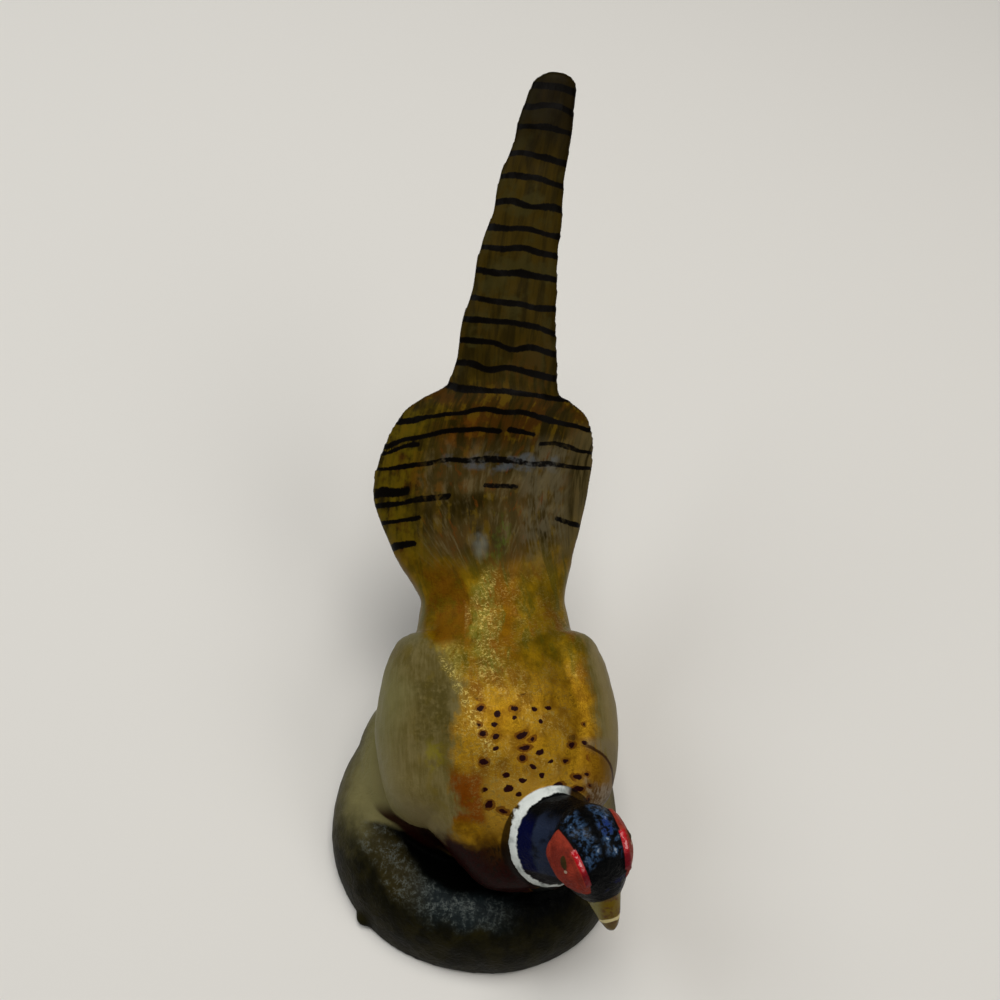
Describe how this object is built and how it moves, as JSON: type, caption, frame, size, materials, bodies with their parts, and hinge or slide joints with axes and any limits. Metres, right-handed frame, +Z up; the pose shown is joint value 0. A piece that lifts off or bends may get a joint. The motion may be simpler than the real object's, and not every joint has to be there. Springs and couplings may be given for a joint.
{
  "type": "bronze pheasant figurine",
  "caption": "Small cold-painted bronze cock pheasant, leaning forward on a round mound with its long barred tail raised and its head turned aside.",
  "frame": {"origin": "centre of the mound's flat underside", "axes": "+Z up, +Y back along the raised tail, so the bird faces -Y and turns its head towards +X"},
  "size_m": [0.0448, 0.1029, 0.0707],
  "materials": {
    "painted_bronze": "cold-painted bronze, satin, with metallic gold and dark brown"
  },
  "bodies": {
    "root": {"pheasant_casting": "painted_bronze"}
  },
  "joints": []
}
